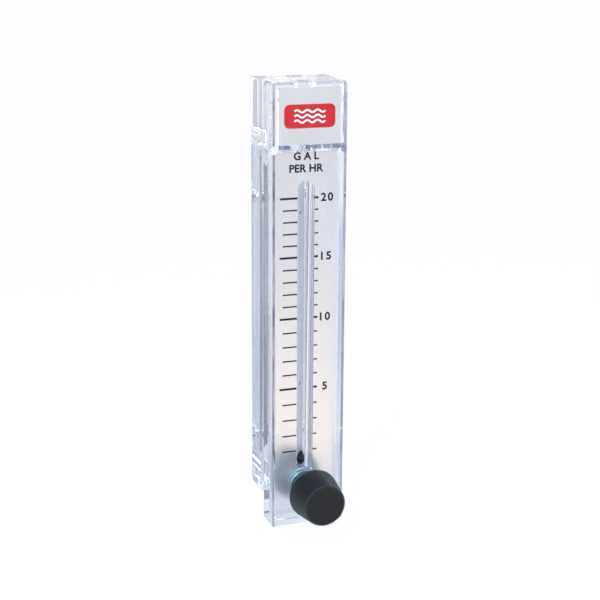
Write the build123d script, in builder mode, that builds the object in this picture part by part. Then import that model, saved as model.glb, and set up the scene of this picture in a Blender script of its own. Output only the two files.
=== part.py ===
from build123d import *
import os
from math import cos, pi, radians, sin, sqrt, tan

# Rotameter: a clear block with a tapered flow tube, a steel backbone behind it that takes the
# pipes, a recessed scale plate in front and a metering valve at the foot.
# X runs to the right as seen from the front, +Y to the rear and +Z up. The origin is the middle
# of the mounting screw pattern, on the rear face. A setback is a distance behind the front face.

# Clear body
body_width = 37.5
slab_depth = 16.4           # the front slab, which reaches lower than the rear block
port_spacing = 161.0
top_margin = 34.0           # outlet port to the top face
bottom_margin = 27.0        # inlet port to the bottom face
port_offset = 4.5           # middle of the ports below the middle of the mounting screws
rear_foot = 13.5            # rear block's underside above the bottom face
slab_corner = 2.2
foot_round = 3.0
edge_round = 0.8

# Scale recess and its plate
recess_side_rim = 1.45
recess_bottom_rim = 4.0
recess_top_drop = 31.8      # top face to the head of the recess
recess_corner = 2.0
scale_setback = 5.3         # front of the plate
scale_thickness = 0.8
scale_head_gap = 2.0        # room above the plate to lift it out
plate_gap = 0.15
slot_width = 8.6
slot_head_rise = 8.4        # head of the slot above the top graduation

# Name plate, let into a shallow pocket above the recess
name_side_rim = 2.85
name_top_rim = 2.7
name_height = 27.3
name_corner = 1.0
name_setback = 1.0
name_thickness = 0.8
badge_side_margin = 3.1
badge_height = 11.2
badge_corner = 2.6
ink = 0.1

# Graduations: how far the float rises from rest to each calibrated flow
lift_at_1 = 6.8
lift_at_5 = 39.7
lift_at_10 = 75.7
lift_at_15 = 106.3
lift_at_20 = 135.4
left_mark_start = 13.3
left_minor_start = 11.8
left_mark_end = 4.5
right_tick_start = 4.45
right_tick_end = 6.3
heavy_line = 1.0
light_line = 0.65

# Flow tube and float
tube_setback = 14.8
ball_diameter = 7.14
ball_clearance = 0.33
tube_top_diameter = 10.4
float_rest_rise = 3.5       # ball centre above the inlet port when nothing flows
float_travel = 141.3
stop_gap = 0.3
seat_ring_hole = 4.5
seat_ring_thickness = 1.2

# Plug that closes the tube
plug_diameter = 11.0
plug_length = 18.0
plug_head_diameter = 14.0
plug_head_height = 3.0
plug_rod_diameter = 3.0
plug_slot_width = 1.6
plug_slot_depth = 1.4
ring_section = 1.6          # rubber rings of the plug and the ports
fit_gap = 0.05

# Steel backbone
bar_width = 17.0
bar_thickness = 6.0
boss_wall = 2.2             # of the body, between the tube's plug and a port boss
boss_depth = 10.5           # rear face to the sealing face of a port boss
pocket_gap = 0.15
port_diameter = 11.4        # tapped hole for a 1/4 inch taper pipe thread
port_depth = 8.5
passage_diameter = 6.0
face_seal_diameter = 13.6   # middle of the seal's groove
mounting_spacing = 88.9
mounting_hole_diameter = 4.1

# Screws through the cheeks of the block into the edges of the backbone
screw_top_drop = 24.0       # below the outlet port
screw_bottom_rise = 14.0    # above the inlet port
screw_diameter = 2.8
screw_head_diameter = 5.2
screw_head_height = 2.0
screw_sink_diameter = 5.8
screw_sink_depth = 5.0
screw_bite = 4.5
screw_slot_width = 0.8

# Metering valve
valve_drop = 8.1            # valve axis below the inlet port
bonnet_bore_diameter = 12.0
chamber_diameter = 7.0
chamber_length = 4.0
seat_thickness = 1.6
seat_backing = 2.5          # of the body, between the seat and the drop
orifice_diameter = 2.4
riser_diameter = 2.8
riser_backing = 0.2         # riser to the rear end of the valve chamber
feed_diameter = 2.8         # from the inlet port, at the bottom of its passage
drop_diameter = 2.8         # drilled up from below to the feed, and plugged
drop_wall = 0.8             # of the body, between the drop and the port boss
drop_plug_length = 3.0
bonnet_flange_diameter = 16.6
bonnet_flange_thickness = 2.0
bonnet_flange_edge = 0.5
bonnet_wrench_diameter = 13.0
bonnet_wrench_flats = 11.4
bonnet_wrench_length = 3.5
bonnet_neck_diameter = 9.5
bonnet_neck_front = 5.0     # its end, in front of the front face
bonnet_seal_section = 1.4
stem_diameter = 4.76
needle_diameter = 3.8
needle_tip_diameter = 1.0
needle_half_angle = 14.0
thread_pitch = 0.794
turns_to_close = 3.5
turns_to_open = 1.5
running_gap = 0.05
clip_diameter = 6.0
clip_thickness = 0.8
clip_bite = 0.55
clip_recess_diameter = 6.6
clip_recess_depth = 4.2
clip_land = 0.7
stem_seal_setback = 1.6
stem_seal_section = 1.0
stem_front_out = 21.0       # its end, in front of the front face
needle_seat_gap = 0.03

# Knob
knob_rear_diameter = 25.8
knob_front_diameter = 21.2
knob_rear_out = 8.0         # rear edge of the skirt, in front of the front face
knob_length = 16.7
flute_count = 72
flute_depth = 0.7
knob_skirt_wall = 3.0
knob_skirt_depth = 8.5
knob_edge = 1.0
knob_stock = 0.2            # turned blank outside the ridges of the flutes
knob_hub_diameter = 13.0
insert_diameter = 9.0
insert_length = 10.0
insert_rear = 4.0           # in front of the rear edge of the skirt, inside it
set_screw_diameter = 3.0
set_screw_length = 6.0
set_screw_out = 18.5        # its axis, in front of the front face
set_screw_angle = 130.0
hex_socket = 1.5
hex_socket_depth = 1.2

# Derived places
outlet_height = port_spacing / 2 - port_offset
inlet_height = -port_spacing / 2 - port_offset
top = outlet_height + top_margin
bottom = inlet_height - bottom_margin
boss_setback = tube_setback + plug_diameter / 2 + boss_wall
body_depth = boss_setback + boss_depth
half_width = body_width / 2
front = -body_depth
tube_y = front + tube_setback
valve_height = inlet_height - valve_drop
ball_radius = ball_diameter / 2
float_rest = inlet_height + float_rest_rise
tube_bottom_diameter = ball_diameter + 2 * ball_clearance
seat_ring_top = float_rest - sqrt(ball_radius**2 - (seat_ring_hole / 2) ** 2) - stop_gap
seat_ring_bottom = seat_ring_top - seat_ring_thickness
float_stop_height = float_rest + float_travel + ball_radius + stop_gap
recess_floor = scale_setback + scale_thickness
recess_width = body_width - 2 * recess_side_rim
recess_bottom = bottom + recess_bottom_rim
recess_head = top - recess_top_drop
name_floor = name_setback + name_thickness
name_width = body_width - 2 * name_side_rim
name_top = top - name_top_rim
slot_top = float_rest + lift_at_20 + slot_head_rise
pocket_width = bar_width + 2 * pocket_gap
seal_radius = ring_section / 2
feed_height = inlet_height - (passage_diameter - feed_diameter) / 2
closing_travel = thread_pitch * turns_to_close
opening_travel = thread_pitch * turns_to_open
screw_heights = (outlet_height - screw_top_drop, inlet_height + screw_bottom_rise)
drop_setback = boss_setback - drop_wall - drop_diameter / 2
chamber_end = drop_setback - drop_diameter / 2 - seat_backing - seat_thickness
bonnet_bore_end = chamber_end - chamber_length
riser_setback = chamber_end - riser_backing - riser_diameter / 2
bonnet_end = bonnet_bore_end - bonnet_seal_section
clip_recess_floor = bonnet_end - clip_recess_depth
clip_front = clip_recess_floor + opening_travel + stop_gap
needle_slope = tan(radians(needle_half_angle))
closed_radius = orifice_diameter / 2 - needle_seat_gap
needle_tip = chamber_end + (closed_radius - needle_tip_diameter / 2) / needle_slope - closing_travel
needle_start = needle_tip - (needle_diameter - needle_tip_diameter) / 2 / needle_slope
knob_front_out = knob_rear_out + knob_length
insert_rear_out = knob_rear_out + insert_rear
insert_front_out = insert_rear_out + insert_length

tube_axis = Axis((0, tube_y, 0), (0, 0, 1))
valve_axis = Axis((0, front, valve_height), (0, 1, 0))


def facing(setback, height=0.0):
    """Plane parallel to the front face, looking out of the front, with Z upwards in it."""
    return Plane(origin=(0, front + setback, height), x_dir=(1, 0, 0), z_dir=(0, -1, 0))


def cheek_plane(side, reach, height=0.0):
    """Plane that looks out of one side, on the line of the screws through the cheeks."""
    return Plane(origin=(side * reach, -bar_thickness / 2, height), x_dir=(0, side, 0), z_dir=(side, 0, 0))


# In the tube's plane a point is (radius, height); in the valve's it is (setback, radius)
tube_plane = facing(tube_setback)
valve_plane = Plane(origin=(0, front, valve_height), x_dir=(0, 1, 0), z_dir=(1, 0, 0))


def section(points, plane):
    """A closed face through the given corners, for turning."""
    with BuildSketch(plane) as face:
        with BuildLine():
            Polyline(*points, close=True)
        make_face()
    return face.sketch


def plate_outline(width, low, high, low_corner, high_corner):
    """An upright rectangle about the centre plane with rounded lower and upper corners."""
    with BuildSketch() as outline:
        with Locations((0, (low + high) / 2)):
            Rectangle(width, high - low)
        corners = outline.vertices().sort_by(Axis.Y)
        fillet(corners[:2], radius=low_corner)
        corners = outline.vertices().filter_by_position(Axis.Y, high - 1e-3, high + 1e-3)
        fillet(corners, radius=high_corner)
    return outline.sketch


# Body: one clear moulding, made of the front slab and the shorter rear block
with BuildPart() as body:
    with BuildSketch(facing(0)):
        add(plate_outline(body_width, bottom, top, edge_round, slab_corner))
    extrude(amount=-slab_depth)
    fillet(body.edges().filter_by(Axis.X).group_by(Axis.Z)[0].sort_by(Axis.Y)[-1], radius=foot_round)
    fillet(body.faces().sort_by(Axis.Y)[0].edges(), radius=edge_round)
    with BuildSketch(facing(slab_depth)):
        with Locations((0, (bottom + rear_foot + top) / 2)):
            Rectangle(body_width, top - bottom - rear_foot)
    extrude(amount=slab_depth - body_depth)
    rear_rim = body.faces().sort_by(Axis.Y)[-1].edges()
    fillet(rear_rim.sort_by(Axis.Z)[0], radius=foot_round)
    fillet(body.faces().sort_by(Axis.Y)[-1].edges().sort_by(Axis.Z)[-1], radius=edge_round)

    # scale recess and the shallow pocket of the name plate
    with BuildSketch(facing(0)):
        add(plate_outline(recess_width, recess_bottom, recess_head, recess_corner, recess_corner))
    extrude(amount=-recess_floor, mode=Mode.SUBTRACT)
    with BuildSketch(facing(0)):
        add(plate_outline(name_width, name_top - name_height, name_top, edge_round, name_corner))
    extrude(amount=-name_floor, mode=Mode.SUBTRACT)

    # valve bore from the recess floor back to the drilled drop
    valve_bore = [
        (recess_floor, 0),
        (recess_floor, bonnet_bore_diameter / 2),
        (bonnet_bore_end, bonnet_bore_diameter / 2),
        (bonnet_bore_end, chamber_diameter / 2),
        (chamber_end + seat_thickness, chamber_diameter / 2),
        (chamber_end + seat_thickness, orifice_diameter / 2),
        (drop_setback, orifice_diameter / 2),
        (drop_setback, 0),
    ]
    revolve(section(valve_bore, valve_plane), axis=valve_axis, mode=Mode.SUBTRACT)

    # riser from the valve chamber to the tube, and the drop from the feed to the valve
    with BuildSketch(Plane.XY.offset(valve_height)):
        with Locations((0, front + riser_setback)):
            Circle(riser_diameter / 2)
    extrude(amount=seat_ring_bottom - valve_height, mode=Mode.SUBTRACT)
    with BuildSketch(Plane.XY.offset(bottom + rear_foot)):
        with Locations((0, front + drop_setback)):
            Circle(drop_diameter / 2)
    extrude(amount=feed_height + feed_diameter / 2 - bottom - rear_foot, mode=Mode.SUBTRACT)

    # pocket for the backbone, deeper at its two port bosses
    with BuildSketch(facing(body_depth, -port_offset)):
        SlotCenterToCenter(port_spacing, pocket_width, rotation=90)
    extrude(amount=bar_thickness, mode=Mode.SUBTRACT)
    with BuildSketch(facing(body_depth)):
        with Locations((0, outlet_height), (0, inlet_height)):
            Circle(pocket_width / 2)
    extrude(amount=boss_depth, mode=Mode.SUBTRACT)
    with BuildSketch(facing(boss_setback, outlet_height)):
        Circle(passage_diameter / 2)
    extrude(amount=boss_setback - tube_setback, mode=Mode.SUBTRACT)
    with BuildSketch(facing(boss_setback, feed_height)):
        Circle(feed_diameter / 2)
    extrude(amount=boss_setback - drop_setback, mode=Mode.SUBTRACT)

    # sunk holes through both cheeks for the backbone's screws
    for side in (-1, 1):
        with Locations(cheek_plane(side, half_width)):
            with Locations(*[(0, height) for height in screw_heights]):
                CounterBoreHole(
                    radius=screw_diameter / 2 + pocket_gap,
                    counter_bore_radius=screw_sink_diameter / 2,
                    counter_bore_depth=screw_sink_depth,
                    depth=half_width - bar_width / 2,
                )

    # tapered flow tube, open at the top for its plug
    flow_tube = [
        (0, seat_ring_bottom),
        (tube_bottom_diameter / 2, seat_ring_bottom),
        (tube_bottom_diameter / 2, seat_ring_top),
        (tube_top_diameter / 2, float_stop_height),
        (plug_diameter / 2, float_stop_height),
        (plug_diameter / 2, top - plug_head_height),
        (plug_head_diameter / 2, top - plug_head_height),
        (plug_head_diameter / 2, top),
        (0, top),
    ]
    revolve(section(flow_tube, tube_plane), axis=tube_axis, mode=Mode.SUBTRACT)
body.part.label = "body"

# Scale plate: brushed sheet with a slot for the tube that opens into the bonnet's hole
with BuildPart() as scale_plate:
    with BuildSketch(facing(recess_floor)):
        width = recess_width - 2 * plate_gap
        low = recess_bottom + plate_gap
        high = recess_head - scale_head_gap
        add(plate_outline(width, low, high, recess_corner, recess_corner))
        with Locations((0, (slot_top + valve_height) / 2)):
            SlotOverall(slot_top - valve_height, slot_width, rotation=90, mode=Mode.SUBTRACT)
        with Locations((0, valve_height)):
            Circle(bonnet_bore_diameter / 2 + plate_gap, mode=Mode.SUBTRACT)
    extrude(amount=scale_thickness)
scale_plate.part.label = "scale_plate"


float_lift = {1: lift_at_1, 5: lift_at_5, 10: lift_at_10, 15: lift_at_15, 20: lift_at_20}


def mark_height(flow):
    """Height of a graduation, evenly spaced between the calibrated flows on either side of it."""
    flows = sorted(float_lift)
    upper = next(known for known in flows[1:] if known >= flow)
    lower = flows[flows.index(upper) - 1]
    share = (flow - lower) / (upper - lower)
    return float_rest + float_lift[lower] + share * (float_lift[upper] - float_lift[lower])


# Graduations: printed lines on both sides of the tube, the numbered ones longer and heavier
with BuildPart() as graduations:
    with BuildSketch(facing(scale_setback)):
        for flow in range(min(float_lift), max(float_lift) + 1):
            numbered = flow % 5 == 0
            thickness = heavy_line if numbered else light_line
            start = left_mark_start if numbered else left_minor_start
            with Locations((-(start + left_mark_end) / 2, mark_height(flow))):
                Rectangle(start - left_mark_end, thickness)
            with Locations(((right_tick_start + right_tick_end) / 2, mark_height(flow))):
                Rectangle(right_tick_end - right_tick_start, thickness)
    extrude(amount=ink)
graduations.part.label = "graduations"

# Name plate, and the plain coloured field printed on it
with BuildPart() as name_plate:
    with BuildSketch(facing(name_floor)):
        width = name_width - 2 * plate_gap
        low = name_top - name_height + plate_gap
        high = name_top - plate_gap
        add(plate_outline(width, low, high, edge_round, name_corner))
    extrude(amount=name_thickness)
name_plate.part.label = "name_plate"

with BuildPart() as badge:
    with BuildSketch(facing(name_setback, name_top - name_height / 2)):
        RectangleRounded(name_width - 2 * badge_side_margin, badge_height, badge_corner)
    extrude(amount=ink)
badge.part.label = "badge"

# Backbone: a flat steel bar with round ends and a boss at each port
with BuildPart() as backbone:
    with BuildSketch(facing(body_depth, -port_offset)):
        SlotCenterToCenter(port_spacing, bar_width, rotation=90)
    extrude(amount=bar_thickness)
    with BuildSketch(facing(body_depth)):
        with Locations((0, outlet_height), (0, inlet_height)):
            Circle(bar_width / 2)
    extrude(amount=boss_depth - fit_gap)
    with Locations(facing(boss_setback)):
        with Locations((0, outlet_height), (0, inlet_height)):
            Hole(passage_diameter / 2, depth=boss_depth)
    with BuildSketch(facing(body_depth)):
        with Locations((0, outlet_height), (0, inlet_height)):
            Circle(port_diameter / 2)
    extrude(amount=port_depth, mode=Mode.SUBTRACT)
    with BuildSketch(facing(boss_setback)):
        with Locations((0, outlet_height), (0, inlet_height)):
            Circle(face_seal_diameter / 2 + seal_radius)
            Circle(face_seal_diameter / 2 - seal_radius, mode=Mode.SUBTRACT)
    extrude(amount=-ring_section, mode=Mode.SUBTRACT)
    with Locations(facing(body_depth - bar_thickness)):
        with Locations((0, mounting_spacing / 2), (0, -mounting_spacing / 2)):
            Hole(mounting_hole_diameter / 2, depth=bar_thickness)
    for side in (-1, 1):
        with Locations(cheek_plane(side, bar_width / 2)):
            with Locations(*[(0, height) for height in screw_heights]):
                Hole(screw_diameter / 2 + fit_gap, depth=screw_bite + fit_gap)
backbone.part.label = "backbone"

# Rubber rings between the port bosses and the clear body
with BuildPart(facing(boss_setback + seal_radius, inlet_height)) as inlet_o_ring:
    Torus(face_seal_diameter / 2, seal_radius - fit_gap / 2)
inlet_o_ring.part.label = "inlet_o_ring"

with BuildPart(facing(boss_setback + seal_radius, outlet_height)) as outlet_o_ring:
    Torus(face_seal_diameter / 2, seal_radius - fit_gap / 2)
outlet_o_ring.part.label = "outlet_o_ring"

# Slotted cheese-head screws, two through each cheek into the edge of the bar
with BuildPart() as backbone_screws:
    for side in (-1, 1):
        for height in screw_heights:
            seat = cheek_plane(side, half_width - screw_sink_depth, height)
            with BuildSketch(seat):
                Circle(screw_diameter / 2)
            extrude(amount=bar_width / 2 - screw_bite + screw_sink_depth - half_width)
            with BuildSketch(seat):
                Circle(screw_head_diameter / 2)
            extrude(amount=screw_head_height)
            with BuildSketch(seat.offset(screw_head_height)):
                Rectangle(screw_head_diameter, screw_slot_width)
            extrude(amount=-screw_head_height / 2, mode=Mode.SUBTRACT)
backbone_screws.part.label = "backbone_screws"

# Plug that closes the tube; its rod stops the float above the end of the scale
plug_foot = top - plug_length
plug_ring_height = (plug_foot + top - plug_head_height) / 2
with BuildPart() as tube_plug:
    plug_profile = [
        (0, float_stop_height),
        (plug_rod_diameter / 2, float_stop_height),
        (plug_rod_diameter / 2, plug_foot),
        (plug_diameter / 2 - fit_gap, plug_foot),
        (plug_diameter / 2 - fit_gap, plug_ring_height - seal_radius),
        (plug_diameter / 2 - ring_section, plug_ring_height - seal_radius),
        (plug_diameter / 2 - ring_section, plug_ring_height + seal_radius),
        (plug_diameter / 2 - fit_gap, plug_ring_height + seal_radius),
        (plug_diameter / 2 - fit_gap, top - plug_head_height),
        (plug_head_diameter / 2 - fit_gap, top - plug_head_height),
        (plug_head_diameter / 2 - fit_gap, top),
        (0, top),
    ]
    revolve(section(plug_profile, tube_plane), axis=tube_axis)
    with BuildSketch(Plane.XY.offset(top)):
        with Locations((0, tube_y)):
            Rectangle(plug_head_diameter, plug_slot_width)
    extrude(amount=-plug_slot_depth, mode=Mode.SUBTRACT)
tube_plug.part.label = "tube_plug"

with BuildPart(Plane(origin=(0, tube_y, plug_ring_height))) as plug_o_ring:
    Torus(plug_diameter / 2 - seal_radius, seal_radius - fit_gap / 2)
plug_o_ring.part.label = "plug_o_ring"

# Float: a dark glass ball, and the pressed-in ring that it settles on
with BuildPart(Plane(origin=(0, tube_y, float_rest))) as float_ball:
    Sphere(ball_radius)
float_ball.part.label = "float_ball"

with BuildPart() as float_seat:
    with BuildSketch(Plane.XY.offset(seat_ring_bottom)):
        with Locations((0, tube_y)):
            Circle(tube_bottom_diameter / 2 - fit_gap)
            Circle(seat_ring_hole / 2, mode=Mode.SUBTRACT)
    extrude(amount=seat_ring_thickness)
float_seat.part.label = "float_seat"

# Plug of the drilled drop, flush with the rear block's underside
with BuildPart() as passage_plug:
    with BuildSketch(Plane.XY.offset(bottom + rear_foot)):
        with Locations((0, front + drop_setback)):
            Circle(drop_diameter / 2 - fit_gap)
    extrude(amount=drop_plug_length)
passage_plug.part.label = "passage_plug"

# Valve seat: a soft disc pressed in behind the valve chamber
with BuildPart() as valve_seat:
    with BuildSketch(facing(chamber_end, valve_height)):
        Circle(chamber_diameter / 2 - fit_gap)
        Circle(orifice_diameter / 2, mode=Mode.SUBTRACT)
    extrude(amount=-seat_thickness)
valve_seat.part.label = "valve_seat"

# Bonnet: screwed into the body through the scale plate, which its flange holds down
wrench_front = scale_setback - bonnet_flange_thickness - bonnet_wrench_length
with BuildPart() as valve_bonnet:
    bonnet_profile = [
        (-bonnet_neck_front, stem_diameter / 2 + running_gap),
        (-bonnet_neck_front, bonnet_neck_diameter / 2),
        (wrench_front, bonnet_neck_diameter / 2),
        (wrench_front, bonnet_wrench_diameter / 2),
        (scale_setback - bonnet_flange_thickness, bonnet_wrench_diameter / 2),
        (scale_setback - bonnet_flange_thickness, bonnet_flange_diameter / 2 - bonnet_flange_edge),
        (scale_setback - bonnet_flange_thickness + bonnet_flange_edge, bonnet_flange_diameter / 2),
        (scale_setback, bonnet_flange_diameter / 2),
        (scale_setback, bonnet_bore_diameter / 2 - fit_gap),
        (bonnet_end, bonnet_bore_diameter / 2 - fit_gap),
        (bonnet_end, clip_recess_diameter / 2),
        (clip_recess_floor, clip_recess_diameter / 2),
        (clip_recess_floor, stem_diameter / 2 + running_gap),
    ]
    revolve(section(bonnet_profile, valve_plane), axis=valve_axis)
    with BuildSketch(facing(scale_setback - bonnet_flange_thickness, valve_height)):
        Circle(bonnet_wrench_diameter)
        Rectangle(2 * bonnet_wrench_diameter, bonnet_wrench_flats, mode=Mode.SUBTRACT)
    extrude(amount=bonnet_wrench_length, mode=Mode.SUBTRACT)
valve_bonnet.part.label = "valve_bonnet"

bonnet_seal_radius = bonnet_seal_section / 2
with BuildPart(facing(bonnet_end + bonnet_seal_radius, valve_height)) as bonnet_o_ring:
    Torus(bonnet_bore_diameter / 2 - bonnet_seal_radius - fit_gap, bonnet_seal_radius - fit_gap / 2)
bonnet_o_ring.part.label = "bonnet_o_ring"

# Stem: threaded in the bonnet's neck, drawn here turned back from its seat
stem_seal_radius = stem_seal_section / 2
stem_seal_middle = stem_diameter / 2 + running_gap - stem_seal_radius
with BuildPart() as valve_stem:
    shaft = [
        (-stem_front_out, 0),
        (-stem_front_out, stem_diameter / 2),
        (clip_front + clip_thickness + clip_land, stem_diameter / 2),
        (clip_front + clip_thickness + clip_land, 0),
    ]
    revolve(section(shaft, valve_plane), axis=valve_axis)
    needle = [
        (clip_front, 0),
        (clip_front, needle_diameter / 2),
        (needle_start, needle_diameter / 2),
        (needle_tip, needle_tip_diameter / 2),
        (needle_tip, 0),
    ]
    revolve(section(needle, valve_plane), axis=valve_axis)
    clip_groove = [
        (clip_front, stem_diameter / 2 - clip_bite),
        (clip_front, stem_diameter),
        (clip_front + clip_thickness, stem_diameter),
        (clip_front + clip_thickness, stem_diameter / 2 - clip_bite),
    ]
    revolve(section(clip_groove, valve_plane), axis=valve_axis, mode=Mode.SUBTRACT)
    seal_groove = [
        (stem_seal_setback - stem_seal_radius, stem_seal_middle - stem_seal_radius),
        (stem_seal_setback - stem_seal_radius, stem_diameter),
        (stem_seal_setback + stem_seal_radius, stem_diameter),
        (stem_seal_setback + stem_seal_radius, stem_seal_middle - stem_seal_radius),
    ]
    revolve(section(seal_groove, valve_plane), axis=valve_axis, mode=Mode.SUBTRACT)
valve_stem.part.label = "valve_stem"

with BuildPart(facing(stem_seal_setback, valve_height)) as stem_o_ring:
    Torus(stem_seal_middle, stem_seal_radius - fit_gap / 2)
stem_o_ring.part.label = "stem_o_ring"

# Clip: an open ring that snaps into the stem's groove
with BuildPart() as stem_clip:
    with BuildSketch(facing(clip_front + fit_gap / 2, valve_height)):
        Circle(clip_diameter / 2)
        Circle(stem_diameter / 2 - clip_bite + fit_gap, mode=Mode.SUBTRACT)
        with Locations((0, -clip_diameter / 2)):
            Rectangle(stem_diameter / 2, clip_diameter, mode=Mode.SUBTRACT)
    extrude(amount=fit_gap - clip_thickness)
stem_clip.part.label = "stem_clip"


def fluted_disc(radius):
    """Outline of the knob's grip: a ridge and a valley for each flute."""
    corners = [
        (
            (radius - flute_depth * (corner % 2)) * cos(pi * corner / flute_count),
            (radius - flute_depth * (corner % 2)) * sin(pi * corner / flute_count),
        )
        for corner in range(2 * flute_count)
    ]
    with BuildSketch() as disc:
        with BuildLine():
            Polyline(*corners, close=True)
        make_face()
    return disc.sketch


# Knob: a tapered cap with a hollow skirt and a hub, fluted all round its grip
skirt_floor_out = knob_rear_out + knob_skirt_depth
set_screw_plane = Plane(
    origin=(0, front - set_screw_out, valve_height),
    x_dir=(0, 1, 0),
    z_dir=(sin(radians(set_screw_angle)), 0, cos(radians(set_screw_angle))),
)
with BuildPart() as knob:
    knob_profile = [
        (-knob_rear_out, knob_rear_diameter / 2 - knob_skirt_wall),
        (-knob_rear_out, knob_rear_diameter / 2 + knob_stock),
        (-knob_front_out, knob_front_diameter / 2 + knob_stock),
        (-knob_front_out, 0),
        (-insert_front_out, 0),
        (-insert_front_out, insert_diameter / 2 + fit_gap),
        (-insert_rear_out, insert_diameter / 2 + fit_gap),
        (-insert_rear_out, knob_hub_diameter / 2),
        (-skirt_floor_out, knob_hub_diameter / 2),
        (-skirt_floor_out, knob_rear_diameter / 2 - knob_skirt_wall),
    ]
    revolve(section(knob_profile, valve_plane), axis=valve_axis)
    front_rim = knob.faces().sort_by(Axis.Y)[0].edges()
    fillet(front_rim, radius=knob_edge)
    with BuildSketch(facing(-knob_rear_out, valve_height)):
        add(fluted_disc(knob_rear_diameter / 2))
    with BuildSketch(facing(-knob_front_out, valve_height)):
        add(fluted_disc(knob_front_diameter / 2))
    loft(ruled=True, mode=Mode.INTERSECT)
    with BuildSketch(set_screw_plane):
        Circle(set_screw_diameter / 2 + fit_gap)
    extrude(amount=knob_rear_diameter, mode=Mode.SUBTRACT)
knob.part.label = "knob"

# Aluminium bush in the hub, drilled for the stem and the set screw
with BuildPart() as knob_insert:
    insert_profile = [
        (-insert_front_out, 0),
        (-insert_front_out, insert_diameter / 2),
        (-insert_rear_out, insert_diameter / 2),
        (-insert_rear_out, stem_diameter / 2 + fit_gap),
        (-stem_front_out - fit_gap, stem_diameter / 2 + fit_gap),
        (-stem_front_out - fit_gap, 0),
    ]
    revolve(section(insert_profile, valve_plane), axis=valve_axis)
    with BuildSketch(set_screw_plane):
        Circle(set_screw_diameter / 2 + fit_gap)
    extrude(amount=insert_diameter, mode=Mode.SUBTRACT)
knob_insert.part.label = "knob_insert"

with BuildPart() as knob_set_screw:
    with BuildSketch(set_screw_plane.offset(stem_diameter / 2 + fit_gap)):
        Circle(set_screw_diameter / 2)
    extrude(amount=set_screw_length)
    with BuildSketch(set_screw_plane.offset(stem_diameter / 2 + fit_gap + set_screw_length)):
        RegularPolygon(radius=hex_socket / 2, side_count=6, major_radius=False)
    extrude(amount=-hex_socket_depth, mode=Mode.SUBTRACT)
knob_set_screw.part.label = "knob_set_screw"

os.makedirs("parts", exist_ok=True)
pieces = [
    body,
    scale_plate,
    graduations,
    name_plate,
    badge,
    backbone,
    inlet_o_ring,
    outlet_o_ring,
    backbone_screws,
    tube_plug,
    plug_o_ring,
    float_ball,
    float_seat,
    passage_plug,
    valve_seat,
    valve_bonnet,
    bonnet_o_ring,
    valve_stem,
    stem_o_ring,
    stem_clip,
    knob,
    knob_insert,
    knob_set_screw,
]
for piece in pieces:
    export_step(piece.part, f"parts/{piece.part.label}.step")
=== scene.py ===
from math import cos, pi, radians, sin

import bmesh
import bpy
from mathutils import Matrix, Vector


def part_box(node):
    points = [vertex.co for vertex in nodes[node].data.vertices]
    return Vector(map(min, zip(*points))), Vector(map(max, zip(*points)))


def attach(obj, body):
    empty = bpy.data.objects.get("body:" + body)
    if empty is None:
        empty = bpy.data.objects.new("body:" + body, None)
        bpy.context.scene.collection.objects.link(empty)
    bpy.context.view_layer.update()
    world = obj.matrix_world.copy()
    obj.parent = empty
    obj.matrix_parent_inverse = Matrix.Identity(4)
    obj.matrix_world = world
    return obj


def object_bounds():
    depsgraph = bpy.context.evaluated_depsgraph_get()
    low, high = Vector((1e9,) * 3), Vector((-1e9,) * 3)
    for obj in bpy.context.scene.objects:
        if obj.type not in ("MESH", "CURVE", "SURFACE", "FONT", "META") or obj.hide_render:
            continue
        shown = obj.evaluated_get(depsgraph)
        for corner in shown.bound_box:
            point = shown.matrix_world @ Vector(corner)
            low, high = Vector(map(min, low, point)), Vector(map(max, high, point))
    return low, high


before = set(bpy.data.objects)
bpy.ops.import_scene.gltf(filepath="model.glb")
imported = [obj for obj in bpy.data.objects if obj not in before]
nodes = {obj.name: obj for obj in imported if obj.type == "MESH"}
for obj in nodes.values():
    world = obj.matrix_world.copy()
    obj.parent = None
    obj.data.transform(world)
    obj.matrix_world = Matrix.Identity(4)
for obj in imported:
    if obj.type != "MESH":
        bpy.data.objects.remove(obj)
cad_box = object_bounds()

# Camera, as fitted to the photograph: metres and degrees in the part's frame
LENS_MM = 82.478
SENSOR_MM = 36.0
CAMERA_TARGET = Vector((-0.004768, -0.033, 0.004914))
CAMERA_AZIMUTH = -19.811
CAMERA_ELEVATION = 14.447
CAMERA_ROLL = 0.335
CAMERA_DISTANCE = 0.666323

# Soft lamps that look at the origin: name, place, side in metres, watts
LAMPS = [
    ("key", (-0.8, -0.9, 0.9), 0.4, 12),
    ("left", (-1.1, -0.45, 0.15), 0.7, 2.5),
    ("right", (1.1, -0.5, 0.3), 0.7, 9.5),
    ("top", (0, 0.3, 1.3), 1.0, 8),
]
LAMP_COLOUR = (0.7, 0.89, 1.0)
AMBIENT_COLOUR = (0.58, 0.69, 1.0)
AMBIENT_STRENGTH = 0.5
WHITE = (1.0, 1.0, 1.0)

# Dark cards that the clear plastic and the metal show of the studio: which way they stand, the
# cosines of the angles from there at which they begin and are full, and their colour
CARDS = [
    ((1.0, 0.15, 0.1), 0.86, 0.97, (0.3, 0.34, 0.42)),
    ((-0.8, 0.45, 0.0), 0.85, 0.96, (0.6, 0.63, 0.72)),
    ((0.0, -0.3, 1.0), 0.7, 0.95, (0.7, 0.71, 0.8)),
]

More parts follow.
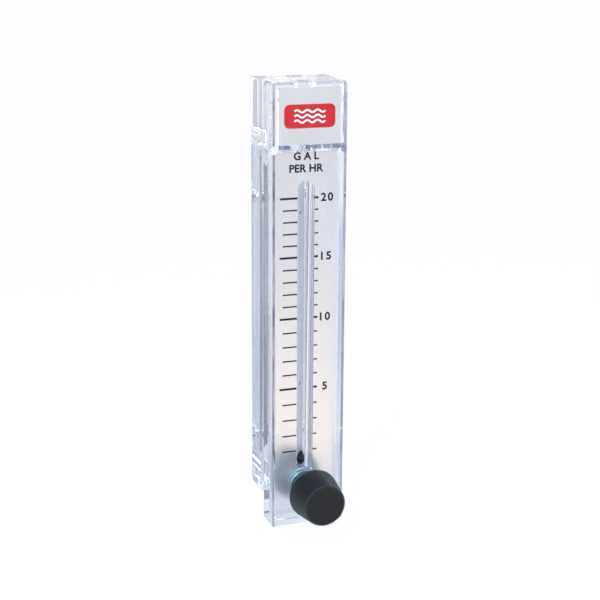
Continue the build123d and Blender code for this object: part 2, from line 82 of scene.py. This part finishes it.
# What they show of the floor: metres from the middle, and the colour there
FLOOR_FRONT = [(0.15, (1.22, 0.98, 0.8)), (0.7, (0.69, 0.57, 0.52))]
FLOOR_FRONT_THROUGH = [(0.15, (1.12, 1.08, 1.12)), (0.7, (0.72, 0.71, 0.77))]
FLOOR_LEFT = [
    (0.04, (0.42, 0.46, 0.56)),
    (0.14, (0.46, 0.5, 0.62)),
    (0.34, (0.52, 0.56, 0.68)),
    (0.46, (0.9, 0.9, 0.97)),
]
FLOOR_BEHIND = [
    (0.05, (0.8, 0.84, 0.94)),
    (0.3, (0.5, 0.54, 0.68)),
    (0.72, (0.6, 0.64, 0.78)),
    (0.9, (1.0, 1.0, 1.0)),
]
FLOOR_RIGHT = (1.0, 0.99, 1.0)

# Where each stretch of the floor begins and is full, in metres along X or Y
LEFT_STRETCH = ("X", 0.0, -0.08)
FRONT_STRETCH = ("Y", -0.05, -0.12)
RIGHT_STRETCH = ("X", 0.06, 0.12)
RIGHT_STRETCH_END = ("Y", 0.1, 0.03)
FLOOR_HALF_SIDE = 8
FLOOR_COLOUR = (0.82, 0.82, 0.83)
FLOOR_TO_CAMERA = (1.03, 1.01, 1.02)
SHARE_TO_CAMERA = 0.94
SHARE_BOUNCED = 0.9

# Clear plastic: painted shade on the cheeks from front to rear, and on the front rims from left to
# right
CHEEK_SHADE_TINTS = [(0.0, (0.95, 0.955, 0.98)), (0.35, (0.9, 0.905, 0.94)), (0.45, (0.66, 0.675, 0.72))]
# Painted shade: dark lines along the left and right front rims, clear between them
RIM_SHADE_TINTS = [
    (0.024, (0.025, 0.04, 0.09)),
    (0.03, (0.97, 0.99, 1.0)),
    (0.944, (0.97, 0.98, 1.0)),
    (0.95, (0.2, 0.215, 0.34)),
]
# Painted shade: colour of the dark streaks in the band between the plates
BAND_SHADE = (0.12, 0.16, 0.28)

# Depths below the block's side or front, in metres, where the painted shade ends and to where it is
# full
CHEEK_DEPTH = (0.0016, 0.0012)
RIM_DEPTH = (0.0009, 0.0003)
BAND_DEPTH = (0.0045, 0.004)

# Heights where the cheeks' painted shade fades towards the top, and how far the band's fades above
# and below
CHEEK_TOP = (0.092, 0.082)
BAND_FADE = 0.0002

# Right edge of the scale plate's slot, which stands in shade: its X, how far the shade reaches to
# either side and then fades out, and the depths behind the plate's face where it begins and is full
SLOT_EDGE = 0.0043
SLOT_SHADE = 0.0001
SLOT_DEPTH = (0.00008, 0.00014)

# Print: numerals by their left edge, rows of the legend by their height and letter spacing, and waves
PRINT_THICKNESS = 0.00004
NUMERAL_HEIGHT = 0.0042
NUMERAL_SPACING = 1.28
NUMERAL_LEFT = {5: 0.0092, 10: 0.0076, 15: 0.0079, 20: 0.0076}
LEGEND_HEIGHT = 0.0039
LEGEND_ROWS = {"GAL": (0.0742, 1.6), "PER HR": (0.0683, 1.02)}
LETTER_WEIGHT = 0.03
LETTER_CURVE_STEPS = 6
WAVE_LENGTH = 0.0155
WAVE_TURNS = 3
WAVE_STEPS = 72
WAVE_RISE = 0.0012
WAVE_WEIGHT = 0.0009
WAVE_ROWS = (-0.0024, 0.0, 0.0024)

# Graduations: only the long ones reach further left than this X, and they are more than a gap apart
LONG_MARK_REACH = -0.0125
MARK_GAP = 0.002

# Knob: its flutes, and the radius where the smooth face ends and the grip begins
FLUTES = 72
FACE_RADIUS = 0.0094
FACE_ROUNDING = 0.0003

# Threads: ridges on the bores and on the bonnet; their half width is a share of the pitch
PORT_THREAD = {"wall": 0.0057, "crest": 0.0051, "pitch": 0.001411, "length": 0.0072}
SCREW_THREAD = {"wall": 0.00205, "crest": 0.00172, "pitch": 0.000794, "length": 0.005}
BONNET_THREAD = {"wall": 0.00595, "crest": 0.00635, "pitch": 0.0009, "length": 0.0027}
PORT_THREAD_INSET = 0.0006
SCREW_THREAD_INSET = 0.0005
BONNET_THREAD_INSET = 0.0005
RIDGE_HALF_WIDTH = 0.42
THREAD_STEPS = 36
MOUNTING_SPACING = 0.0889


def middle_of(node):
    """The middle of a CAD node's box."""
    low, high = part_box(node)
    return (low + high) / 2


def new_material(name, slot_name):
    """A node material with its principled shader, ready for procedural detail."""
    material = bpy.data.materials.new(name)
    material.use_nodes = True
    material["slot"] = slot_name
    shader = material.node_tree.nodes["Principled BSDF"]
    return material, material.node_tree, shader


def feed(tree, source, socket):
    """Links a socket to another node's output, or sets it to a plain number or colour."""
    if isinstance(source, bpy.types.NodeSocket):
        tree.links.new(source, socket)
    elif isinstance(source, tuple):
        socket.default_value = (*source, 1)
    else:
        socket.default_value = source


def object_pattern(tree, scale=(1, 1, 1), location=(0, 0, 0)):
    """Object coordinates through a mapping, for a pattern that stays with the piece."""
    coordinates = tree.nodes.new("ShaderNodeTexCoord")
    mapping = tree.nodes.new("ShaderNodeMapping")
    mapping.inputs["Scale"].default_value = scale
    mapping.inputs["Location"].default_value = location
    tree.links.new(coordinates.outputs["Object"], mapping.inputs["Vector"])
    return mapping.outputs["Vector"]


def noise(tree, vector, scale, detail, roughness=0.5):
    texture = tree.nodes.new("ShaderNodeTexNoise")
    texture.inputs["Scale"].default_value = scale
    texture.inputs["Detail"].default_value = detail
    texture.inputs["Roughness"].default_value = roughness
    tree.links.new(vector, texture.inputs["Vector"])
    return texture.outputs["Fac"]


def worked_out(tree, operation, first, second=None):
    """The result of a Math node on one or two outputs or plain numbers."""
    step = tree.nodes.new("ShaderNodeMath")
    step.operation = operation
    feed(tree, first, step.inputs[0])
    if second is not None:
        feed(tree, second, step.inputs[1])
    return step.outputs[0]


def times(tree, first, second):
    return worked_out(tree, "MULTIPLY", first, second)


def larger(tree, first, second):
    return worked_out(tree, "MAXIMUM", first, second)


def vector_step(tree, operation, vector, other=None):
    """A Vector Math node on an output and, where the operation needs one, a fixed vector."""
    step = tree.nodes.new("ShaderNodeVectorMath")
    step.operation = operation
    tree.links.new(vector, step.inputs[0])
    if other is not None:
        step.inputs[1].default_value = other
    return step


def distance_across(tree, vector, directions):
    """Distance from the origin, counting only the directions that are given as 1."""
    flat = vector_step(tree, "MULTIPLY", vector, directions)
    return vector_step(tree, "LENGTH", flat.outputs["Vector"]).outputs["Value"]


def between(tree, factor, low, high, start=0.3, end=0.7):
    """A value that runs from low to high as the factor runs from start to end."""
    ramp = tree.nodes.new("ShaderNodeMapRange")
    ramp.inputs["From Min"].default_value = start
    ramp.inputs["From Max"].default_value = end
    ramp.inputs["To Min"].default_value = low
    ramp.inputs["To Max"].default_value = high
    tree.links.new(factor, ramp.inputs["Value"])
    return ramp.outputs["Result"]


def along(tree, axis, start, end):
    """0 to 1 as a piece's own X, Y or Z runs from start to end, in metres."""
    place = tree.nodes.new("ShaderNodeSeparateXYZ")
    tree.links.new(tree.nodes.new("ShaderNodeTexCoord").outputs["Object"], place.inputs[0])
    return between(tree, place.outputs[axis], 0.0, 1.0, start, end)


def within(tree, axis, low, high, fade):
    """1 where a piece's own X, Y or Z is between low and high, and 0 beyond the fade."""
    return times(tree, along(tree, axis, low - fade, low), along(tree, axis, high + fade, high))


def graded(tree, factor, stops):
    """A colour that changes with the factor, through the given stops."""
    ramp = tree.nodes.new("ShaderNodeValToRGB")
    elements = ramp.color_ramp.elements
    while len(elements) < len(stops):
        elements.new(0.5)
    for element, (place, colour) in zip(elements, stops):
        element.position = place
        element.color = (*colour, 1)
    tree.links.new(factor, ramp.inputs["Fac"])
    return ramp.outputs["Color"]


def two_tone(tree, factor, first, second, start=0.3, end=0.7):
    """A colour that runs from one to another as the factor runs from start to end."""
    return graded(tree, factor, [(start, first), (end, second)])


def blend(tree, factor, first, second):
    """A mix of two colours, which are outputs or plain colours: the first at 0, the second at 1."""
    mix = tree.nodes.new("ShaderNodeMix")
    mix.data_type = "RGBA"
    tree.links.new(factor, mix.inputs["Factor"])
    feed(tree, first, mix.inputs["A"])
    feed(tree, second, mix.inputs["B"])
    return mix.outputs["Result"]


def bump(tree, shader, height, distance, strength):
    relief = tree.nodes.new("ShaderNodeBump")
    relief.inputs["Distance"].default_value = distance
    relief.inputs["Strength"].default_value = strength
    tree.links.new(height, relief.inputs["Height"])
    tree.links.new(relief.outputs["Normal"], shader.inputs["Normal"])


def glow(tree, colour):
    emission = tree.nodes.new("ShaderNodeEmission")
    feed(tree, colour, emission.inputs["Color"])
    return emission.outputs[0]


def ray_is(tree, *kinds):
    """1 for rays of any of the given kinds, such as "Is Camera Ray"."""
    path = tree.nodes.new("ShaderNodeLightPath")
    found = path.outputs[kinds[0]]
    for kind in kinds[1:]:
        found = larger(tree, found, path.outputs[kind])
    return found


def deeper_than(tree, kind, bounces):
    """1 for rays with more bounces of a kind, such as "Glossy Depth", than the given number."""
    path = tree.nodes.new("ShaderNodeLightPath")
    return worked_out(tree, "GREATER_THAN", path.outputs[kind], bounces)


def shown(tree, first, second, factor, share=1.0):
    """A mix that goes from the first shader to the second by a share of the factor."""
    mix = tree.nodes.new("ShaderNodeMixShader")
    tree.links.new(times(tree, factor, share), mix.inputs["Fac"])
    tree.links.new(first, mix.inputs[1])
    tree.links.new(second, mix.inputs[2])
    return mix.outputs[0]


def block_tint(tree, ripple):
    """Nearly clear, with painted shade on the cheeks and front rims, and painted streaks in a band
    between the plates.
    """
    low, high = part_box("body")
    inside = two_tone(tree, ripple, (0.96, 0.966, 0.99), (0.975, 0.98, 0.998))

    # Painted shade: the cheeks darken towards the rear and fade out towards the top
    end, full = CHEEK_DEPTH
    right_cheek = along(tree, "X", high.x - end, high.x - full)
    left_cheek = along(tree, "X", low.x + end, low.x + full)
    below_top = between(tree, along(tree, "Z", *CHEEK_TOP), 0.05, 1.0, 0.0, 1.0)
    cheek_shade = times(tree, larger(tree, left_cheek, right_cheek), below_top)
    cheek_shade_tone = graded(tree, along(tree, "Y", low.y, high.y), CHEEK_SHADE_TINTS)
    tint_and_shade = blend(tree, cheek_shade, inside, cheek_shade_tone)

    # Painted shade on the front rims, patchy along their height
    end, full = RIM_DEPTH
    uneven = noise(tree, object_pattern(tree, (0.1, 0.1, 1)), 60, detail=3.0)
    patchy = between(tree, uneven, 0.65, 1.0, 0.4, 0.6)
    rim_shade = times(tree, along(tree, "Y", low.y + end, low.y + full), patchy)
    rim_shade_tone = graded(tree, along(tree, "X", low.x, high.x), RIM_SHADE_TINTS)
    tint_and_shade = blend(tree, rim_shade, tint_and_shade, rim_shade_tone)

    # Painted shade and light: dark and pale streaks in the band between the plates
    end, full = BAND_DEPTH
    band_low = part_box("scale_plate")[1].z
    band_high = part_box("name_plate")[0].z
    band_rows = within(tree, "Z", band_low, band_high, BAND_FADE)
    painted_band = times(tree, band_rows, along(tree, "Y", low.y + end, low.y + full))
    stretches = noise(tree, object_pattern(tree, (1, 0.05, 0.05)), 300, detail=2.0)
    painted_band_tone = two_tone(tree, stretches, BAND_SHADE, (0.97, 0.98, 1.0), 0.46, 0.54)
    return blend(tree, painted_band, tint_and_shade, painted_band_tone)


def clear_plastic():
    """Polished clear block, faintly lavender, with the slow ripple of a moulded face."""
    material, tree, shader = new_material("clear_plastic", "clear_plastic")
    ripple = noise(tree, object_pattern(tree, (1, 1, 0.35)), 90, detail=1.0)
    shader.inputs["Transmission Weight"].default_value = 1.0
    shader.inputs["IOR"].default_value = 1.585
    shader.inputs["Roughness"].default_value = 0.0
    tree.links.new(block_tint(tree, ripple), shader.inputs["Base Color"])
    bump(tree, shader, ripple, distance=0.00003, strength=0.6)
    clear = tree.nodes.new("ShaderNodeBsdfTransparent")
    feed(tree, (0.97, 0.975, 0.995), clear.inputs["Color"])
    lost = larger(tree, deeper_than(tree, "Glossy Depth", 2), deeper_than(tree, "Ray Depth", 8))
    straight = larger(tree, ray_is(tree, "Is Shadow Ray", "Is Diffuse Ray"), lost)
    lit = shown(tree, shader.outputs[0], clear.outputs[0], straight)
    tree.links.new(lit, tree.nodes["Material Output"].inputs["Surface"])
    return material


def brushed_plate():
    """Satin aluminium sheet with an upright grain, and the shaded cut edge of its slot."""
    material, tree, shader = new_material("brushed_plate", "brushed_aluminium")
    grain = noise(tree, object_pattern(tree, (1, 1, 0.012)), 9000, detail=4.0, roughness=0.6)
    cloud = noise(tree, object_pattern(tree, (1, 1, 0.5)), 60, detail=2.0)
    face = two_tone(tree, grain, (0.84, 0.84, 0.85), (0.92, 0.92, 0.92))
    edge = two_tone(tree, grain, (0.08, 0.1, 0.15), (0.14, 0.16, 0.22))
    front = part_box("scale_plate")[0].y
    start, full = SLOT_DEPTH
    beside_slot = within(tree, "X", SLOT_EDGE - SLOT_SHADE, SLOT_EDGE + SLOT_SHADE, SLOT_SHADE)
    cut = times(tree, along(tree, "Y", front + start, front + full), beside_slot)
    shader.inputs["Metallic"].default_value = 0.7
    shader.inputs["Anisotropic"].default_value = 0.35
    tree.links.new(blend(tree, cut, face, edge), shader.inputs["Base Color"])
    tree.links.new(between(tree, cloud, 0.24, 0.3), shader.inputs["Roughness"])
    bump(tree, shader, grain, distance=0.000004, strength=0.5)
    return material


def turned_metal(name, slot_name, dark, light, rough):
    """Machined metal with fine tool marks and a little variation in its polish."""
    material, tree, shader = new_material(name, slot_name)
    marks = noise(tree, object_pattern(tree, (1, 14, 1)), 900, detail=3.0)
    cloud = noise(tree, object_pattern(tree), 220, detail=2.0)
    shader.inputs["Metallic"].default_value = 1.0
    tree.links.new(two_tone(tree, marks, dark, light), shader.inputs["Base Color"])
    tree.links.new(between(tree, cloud, rough, rough + 0.1), shader.inputs["Roughness"])
    bump(tree, shader, marks, distance=0.00001, strength=0.4)
    return material


def bar_steel():
    """Pale, satin-blasted stainless bar with a faint grain along its length."""
    material, tree, shader = new_material("bar_steel", "stainless_steel")
    grain = noise(tree, object_pattern(tree, (1, 1, 0.02)), 5000, detail=4.0)
    cloud = noise(tree, object_pattern(tree, (1, 1, 0.3)), 90, detail=3.0)
    tone = two_tone(tree, cloud, (0.83, 0.77, 0.74), (0.91, 0.85, 0.82))
    shader.inputs["Metallic"].default_value = 0.25
    tree.links.new(tone, shader.inputs["Base Color"])
    tree.links.new(between(tree, grain, 0.5, 0.62), shader.inputs["Roughness"])
    bump(tree, shader, grain, distance=0.000006, strength=0.5)
    return material


def plain_finish(name, slot_name, dark, light, rough, grain_scale, relief, coat=0.0, shine=0.5):
    """A non-metal with a fine grain in its colour, its gloss and its surface."""
    material, tree, shader = new_material(name, slot_name)
    grain = noise(tree, object_pattern(tree), grain_scale, detail=4.0, roughness=0.6)
    cloud = noise(tree, object_pattern(tree), grain_scale / 12, detail=2.0)
    tree.links.new(two_tone(tree, cloud, dark, light), shader.inputs["Base Color"])
    tree.links.new(between(tree, grain, rough, rough + 0.12), shader.inputs["Roughness"])
    shader.inputs["Coat Weight"].default_value = coat
    shader.inputs["Specular IOR Level"].default_value = shine
    bump(tree, shader, grain, relief, strength=0.6)
    return material


def fluted_black():
    """Moulded black, with painted highlight on the flute ridges and painted shade in the valleys
    about the knob's axis.
    """
    material, tree, shader = new_material("moulded_black", "black_plastic")
    grain = noise(tree, object_pattern(tree), 2600, detail=4.0, roughness=0.6)
    axis = middle_of("knob")
    about_axis = object_pattern(tree, location=(-axis.x, 0, -axis.z))
    place = tree.nodes.new("ShaderNodeSeparateXYZ")
    tree.links.new(about_axis, place.inputs[0])
    turn = worked_out(tree, "ARCTAN2", place.outputs["Z"], place.outputs["X"])
    wave = worked_out(tree, "COSINE", times(tree, turn, FLUTES))
    # Painted light: pale, shinier ridges and near-black valleys on the grip's flutes
    ridge_highlight = between(tree, wave, 0.0, 1.0, -0.6, 0.9)
    radius = distance_across(tree, about_axis, (1, 0, 1))
    grip = between(tree, radius, 0.0, 1.0, FACE_RADIUS, FACE_RADIUS + FACE_ROUNDING)
    face_tone = two_tone(tree, grain, (0.011, 0.0115, 0.013), (0.016, 0.0165, 0.018))
    grip_light_and_shade = two_tone(tree, ridge_highlight, (0.001, 0.001, 0.001), (0.08, 0.081, 0.085), 0.0, 1.0)
    tree.links.new(blend(tree, grip, face_tone, grip_light_and_shade), shader.inputs["Base Color"])
    tree.links.new(between(tree, ridge_highlight, 0.1, 0.4, 0.0, 1.0), shader.inputs["Specular IOR Level"])
    tree.links.new(between(tree, grain, 0.34, 0.44), shader.inputs["Roughness"])
    bump(tree, shader, grain, distance=0.00002, strength=0.6)
    return material


finishes = {
    "clear_plastic": clear_plastic(),
    "brushed_aluminium": brushed_plate(),
    "bar": bar_steel(),
    "steel": turned_metal(
        "turned_steel", "stainless_steel", (0.58, 0.58, 0.58), (0.7, 0.7, 0.7), rough=0.2
    ),
    "bonnet": turned_metal(
        "bonnet_steel", "stainless_steel", (0.16, 0.24, 0.29), (0.26, 0.34, 0.4), rough=0.46
    ),
    "aluminium": turned_metal(
        "turned_aluminium", "aluminium", (0.7, 0.7, 0.71), (0.82, 0.82, 0.83), rough=0.24
    ),
    "knob": fluted_black(),
    "rubber": plain_finish(
        "pale_silicone", "seal_rubber", (0.74, 0.77, 0.8), (0.82, 0.84, 0.87),
        rough=0.45, grain_scale=3000, relief=0.00001,
    ),
    "white": plain_finish(
        "white_plastic", "white_plastic", (0.8, 0.8, 0.77), (0.86, 0.86, 0.83),
        rough=0.35, grain_scale=2500, relief=0.00001,
    ),
    "float": plain_finish(
        "black_glass", "black_glass", (0.001, 0.016, 0.024), (0.002, 0.024, 0.034),
        rough=0.1, grain_scale=800, relief=0.000001, coat=0.15, shine=0.3,
    ),
    "ink": plain_finish(
        "black_ink", "black_ink", (0.003, 0.01, 0.014), (0.006, 0.016, 0.022),
        rough=0.5, grain_scale=5000, relief=0.000004, shine=0.2,
    ),
    "red": plain_finish(
        "red_ink", "red_ink", (0.68, 0.024, 0.026), (0.74, 0.032, 0.034),
        rough=0.42, grain_scale=5000, relief=0.000004, shine=0.2,
    ),
    "white_ink": plain_finish(
        "white_ink", "white_plastic", (0.9, 0.84, 0.81), (0.94, 0.88, 0.85),
        rough=0.42, grain_scale=5000, relief=0.000004,
    ),
}

node_finish = {
    "body": "clear_plastic",
    "scale_plate": "brushed_aluminium",
    "graduations": "ink",
    "name_plate": "brushed_aluminium",
    "badge": "red",
    "backbone": "bar",
    "inlet_o_ring": "rubber",
    "outlet_o_ring": "rubber",
    "backbone_screws": "steel",
    "tube_plug": "clear_plastic",
    "plug_o_ring": "rubber",
    "float_ball": "float",
    "float_seat": "white",
    "passage_plug": "steel",
    "valve_seat": "white",
    "valve_bonnet": "bonnet",
    "bonnet_o_ring": "rubber",
    "valve_stem": "steel",
    "stem_o_ring": "rubber",
    "stem_clip": "steel",
    "knob": "knob",
    "knob_insert": "aluminium",
    "knob_set_screw": "steel",
}

for node, finish in node_finish.items():
    for slot in nodes[node].material_slots:
        slot.material = finishes[finish]


def piece_from(bm, name, finish, body):
    """Turns a finished bmesh into a piece that rides on a body."""
    bmesh.ops.recalc_face_normals(bm, faces=bm.faces)
    mesh = bpy.data.meshes.new(name)
    bm.to_mesh(mesh)
    bm.free()
    piece = bpy.data.objects.new(name, mesh)
    bpy.context.scene.collection.objects.link(piece)
    mesh.materials.append(finishes[finish])
    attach(piece, body)
    return piece


def lettering_mesh(words, name, spacing):
    """The words as a solid in the XY plane, in the font's own units."""
    curve = bpy.data.curves.new(name, "FONT")
    curve.body = words
    curve.space_character = spacing
    curve.resolution_u = LETTER_CURVE_STEPS
    curve.offset = LETTER_WEIGHT
    curve.extrude = 0.5
    text = bpy.data.objects.new(name, curve)
    bpy.context.scene.collection.objects.link(text)
    bpy.context.view_layer.update()
    evaluated = text.evaluated_get(bpy.context.evaluated_depsgraph_get())
    mesh = bpy.data.meshes.new_from_object(evaluated)
    bpy.data.objects.remove(text)
    return mesh


def printed_text(words, name, left, middle, height, front, spacing, centred=False):
    """Lettering as a thin raised layer on a face that looks along -Y."""
    mesh = lettering_mesh(words, name, spacing)
    bm = bmesh.new()
    bm.from_mesh(mesh)
    bpy.data.meshes.remove(mesh)
    bmesh.ops.remove_doubles(bm, verts=bm.verts, dist=1e-5)
    low = Vector([min(v.co[i] for v in bm.verts) for i in range(3)])
    high = Vector([max(v.co[i] for v in bm.verts) for i in range(3)])
    size = height / (high.y - low.y)
    start = (low.x + high.x) / 2 if centred else low.x
    bmesh.ops.translate(bm, verts=bm.verts, vec=(-start, -(low.y + high.y) / 2, -low.z))
    bmesh.ops.scale(bm, verts=bm.verts, vec=(size, size, PRINT_THICKNESS / (high.z - low.z)))
    bmesh.ops.rotate(bm, verts=bm.verts, cent=(0, 0, 0), matrix=Matrix.Rotation(pi / 2, 3, "X"))
    bmesh.ops.translate(bm, verts=bm.verts, vec=(left, front, middle))
    return piece_from(bm, name, "ink", "meter")


def printed_wave(name, middle, front):
    """A wavy line as a thin raised layer on the name plate's coloured field."""
    bm = bmesh.new()
    edges = []
    for step in range(WAVE_STEPS + 1):
        phase = 2 * pi * WAVE_TURNS * step / WAVE_STEPS
        slope = pi * WAVE_TURNS * WAVE_RISE / WAVE_LENGTH * cos(phase)
        across = Vector((-slope, 0, 1)).normalized() * WAVE_WEIGHT / 2
        reach = WAVE_LENGTH * (step / WAVE_STEPS - 0.5)
        point = Vector((reach, front, middle + WAVE_RISE / 2 * sin(phase)))
        edges.append((bm.verts.new(point + across), bm.verts.new(point - across)))
    for (above, below), (next_above, next_below) in zip(edges, edges[1:]):
        bm.faces.new((above, below, next_below, next_above))
    raised = bmesh.ops.extrude_face_region(bm, geom=bm.faces[:])["geom"]
    moved = [item for item in raised if isinstance(item, bmesh.types.BMVert)]
    bmesh.ops.translate(bm, verts=moved, vec=(0, -PRINT_THICKNESS, 0))
    return piece_from(bm, name, "white_ink", "meter")


def thread_ridge(name, start, wall, crest, pitch, length):
    """A helical ridge about an axis along +Y, from a wall or a shaft at one radius to its crest."""
    bm = bmesh.new()
    turns = length / pitch
    count = round(THREAD_STEPS * turns)
    half_width = RIDGE_HALF_WIDTH * pitch
    corners = [
        bm.verts.new(start + Vector((radius, offset, 0)))
        for radius, offset in ((wall, -half_width), (crest, 0), (wall, half_width))
    ]
    edges = [bm.edges.new((corners[i], corners[i - 1])) for i in range(3)]
    spun = bmesh.ops.spin(
        bm, geom=corners + edges, cent=start, axis=(0, 1, 0), dvec=(0, length / count, 0),
        angle=2 * pi * turns, steps=count,
    )
    bm.faces.new(corners)
    bm.faces.new([item for item in spun["geom_last"] if isinstance(item, bmesh.types.BMVert)])
    return piece_from(bm, name, "steel", "meter")


def numbered_marks():
    """Heights of the long graduations, from the lowest up."""
    corners = nodes["graduations"].data.vertices
    heights = sorted(v.co.z for v in corners if v.co.x < LONG_MARK_REACH)
    groups = []
    for height in heights:
        if groups and height - groups[-1][-1] < MARK_GAP:
            groups[-1].append(height)
        else:
            groups.append([height])
    return [(group[0] + group[-1]) / 2 for group in groups]


plate_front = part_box("scale_plate")[0].y
for (number, left), height in zip(NUMERAL_LEFT.items(), numbered_marks()):
    printed_text(
        str(number), f"numeral_{number}", left, height, NUMERAL_HEIGHT, plate_front, NUMERAL_SPACING
    )
for words, (height, spacing) in LEGEND_ROWS.items():
    name = "legend_" + words.lower().replace(" ", "_")
    printed_text(words, name, 0, height, LEGEND_HEIGHT, plate_front, spacing, centred=True)

badge_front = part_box("badge")[0].y
for row, offset in enumerate(WAVE_ROWS, start=1):
    printed_wave(f"badge_wave_{row}", middle_of("badge").z + offset, badge_front)

rear_face = cad_box[1].y
for port in ("inlet", "outlet"):
    axis = middle_of(port + "_o_ring")
    start = Vector((axis.x, rear_face - PORT_THREAD["length"] - PORT_THREAD_INSET, axis.z))
    thread_ridge(port + "_port_thread", start, **PORT_THREAD)
for place, side in (("lower", -1), ("upper", 1)):
    height = side * MOUNTING_SPACING / 2
    start = Vector((0, rear_face - SCREW_THREAD["length"] - SCREW_THREAD_INSET, height))
    thread_ridge(place + "_mounting_thread", start, **SCREW_THREAD)
axis = middle_of("valve_bonnet")
start = Vector((axis.x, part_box("scale_plate")[1].y + BONNET_THREAD_INSET, axis.z))
thread_ridge("bonnet_thread", start, **BONNET_THREAD)


def camera_axes():
    """Right, up and backward of the camera, in the part's frame."""
    azimuth = radians(CAMERA_AZIMUTH)
    elevation = radians(CAMERA_ELEVATION)
    roll = radians(CAMERA_ROLL)
    back = Vector((sin(azimuth) * cos(elevation), -cos(azimuth) * cos(elevation), sin(elevation)))
    right = Vector((cos(azimuth), sin(azimuth), 0))
    up = back.cross(right)
    return cos(roll) * right + sin(roll) * up, cos(roll) * up - sin(roll) * right, back


def add_camera():
    data = bpy.data.cameras.new("camera")
    data.lens = LENS_MM
    data.sensor_width = SENSOR_MM
    data.clip_start = 0.01
    data.clip_end = 20
    camera = bpy.data.objects.new("camera", data)
    right, up, back = camera_axes()
    turn = Matrix(((right.x, up.x, back.x), (right.y, up.y, back.y), (right.z, up.z, back.z)))
    place = Matrix.Translation(CAMERA_TARGET + CAMERA_DISTANCE * back)
    camera.matrix_world = place @ turn.to_4x4()
    bpy.context.scene.collection.objects.link(camera)
    bpy.context.scene.camera = camera


def floor_material():
    """Pale; what the metal and the plastic show of it is bright before the part and dusky behind."""
    material = bpy.data.materials.new("studio_floor")
    material.use_nodes = True
    tree = material.node_tree
    shader = tree.nodes["Principled BSDF"]
    feed(tree, FLOOR_COLOUR, shader.inputs["Base Color"])
    shader.inputs["Roughness"].default_value = 0.7
    distance = distance_across(tree, object_pattern(tree), (1, 1, 0))
    behind = graded(tree, distance, FLOOR_BEHIND)
    rear = blend(tree, along(tree, *LEFT_STRETCH), behind, graded(tree, distance, FLOOR_LEFT))
    rightward = times(tree, along(tree, *RIGHT_STRETCH), along(tree, *RIGHT_STRETCH_END))
    rear = blend(tree, rightward, rear, FLOOR_RIGHT)
    mirrored = graded(tree, distance, FLOOR_FRONT)
    seen_through = graded(tree, distance, FLOOR_FRONT_THROUGH)
    front = blend(tree, ray_is(tree, "Is Transmission Ray"), mirrored, seen_through)
    lit = glow(tree, blend(tree, along(tree, *FRONT_STRETCH), rear, front))
    bounced = ray_is(tree, "Is Glossy Ray", "Is Transmission Ray")
    plain = shown(tree, shader.outputs[0], lit, bounced, SHARE_BOUNCED)
    bright = glow(tree, FLOOR_TO_CAMERA)
    seen = shown(tree, plain, bright, ray_is(tree, "Is Camera Ray"), SHARE_TO_CAMERA)
    tree.links.new(seen, tree.nodes["Material Output"].inputs["Surface"])
    return material


def add_floor():
    bm = bmesh.new()
    bmesh.ops.create_grid(bm, x_segments=2, y_segments=2, size=FLOOR_HALF_SIDE)
    bmesh.ops.translate(bm, verts=bm.verts, vec=(0, 0, cad_box[0].z))
    mesh = bpy.data.meshes.new("floor")
    bm.to_mesh(mesh)
    bm.free()
    mesh.materials.append(floor_material())
    floor = bpy.data.objects.new("floor", mesh)
    bpy.context.scene.collection.objects.link(floor)


def add_world():
    """White to the camera, cool light on the part, and dark cards for the metal and the plastic."""
    world = bpy.data.worlds.new("studio")
    bpy.context.scene.world = world
    world.use_nodes = True
    tree = world.node_tree
    background = tree.nodes["Background"]
    feed(tree, AMBIENT_COLOUR, background.inputs["Color"])
    background.inputs["Strength"].default_value = AMBIENT_STRENGTH
    direction = tree.nodes.new("ShaderNodeTexCoord").outputs["Generated"]
    colour = WHITE
    for towards, start, end, tone in CARDS:
        nearness = vector_step(tree, "DOT_PRODUCT", direction, Vector(towards).normalized())
        card = between(tree, nearness.outputs["Value"], 0.0, 1.0, start, end)
        colour = blend(tree, card, colour, tone)
    bounced = ray_is(tree, "Is Glossy Ray", "Is Transmission Ray")
    plain = shown(tree, background.outputs[0], glow(tree, colour), bounced)
    seen = shown(tree, plain, glow(tree, WHITE), ray_is(tree, "Is Camera Ray"))
    tree.links.new(seen, tree.nodes["World Output"].inputs["Surface"])


def add_lamp(name, place, side, power):
    data = bpy.data.lights.new(name, "AREA")
    data.size = side
    data.energy = power
    data.color = LAMP_COLOUR
    lamp = bpy.data.objects.new(name, data)
    lamp.location = place
    lamp.rotation_mode = "QUATERNION"
    lamp.rotation_quaternion = (-Vector(place)).to_track_quat("-Z", "Y")
    bpy.context.scene.collection.objects.link(lamp)


add_camera()
add_floor()
add_world()
for lamp in LAMPS:
    add_lamp(*lamp)

bpy.context.scene.view_settings.view_transform = "Standard"
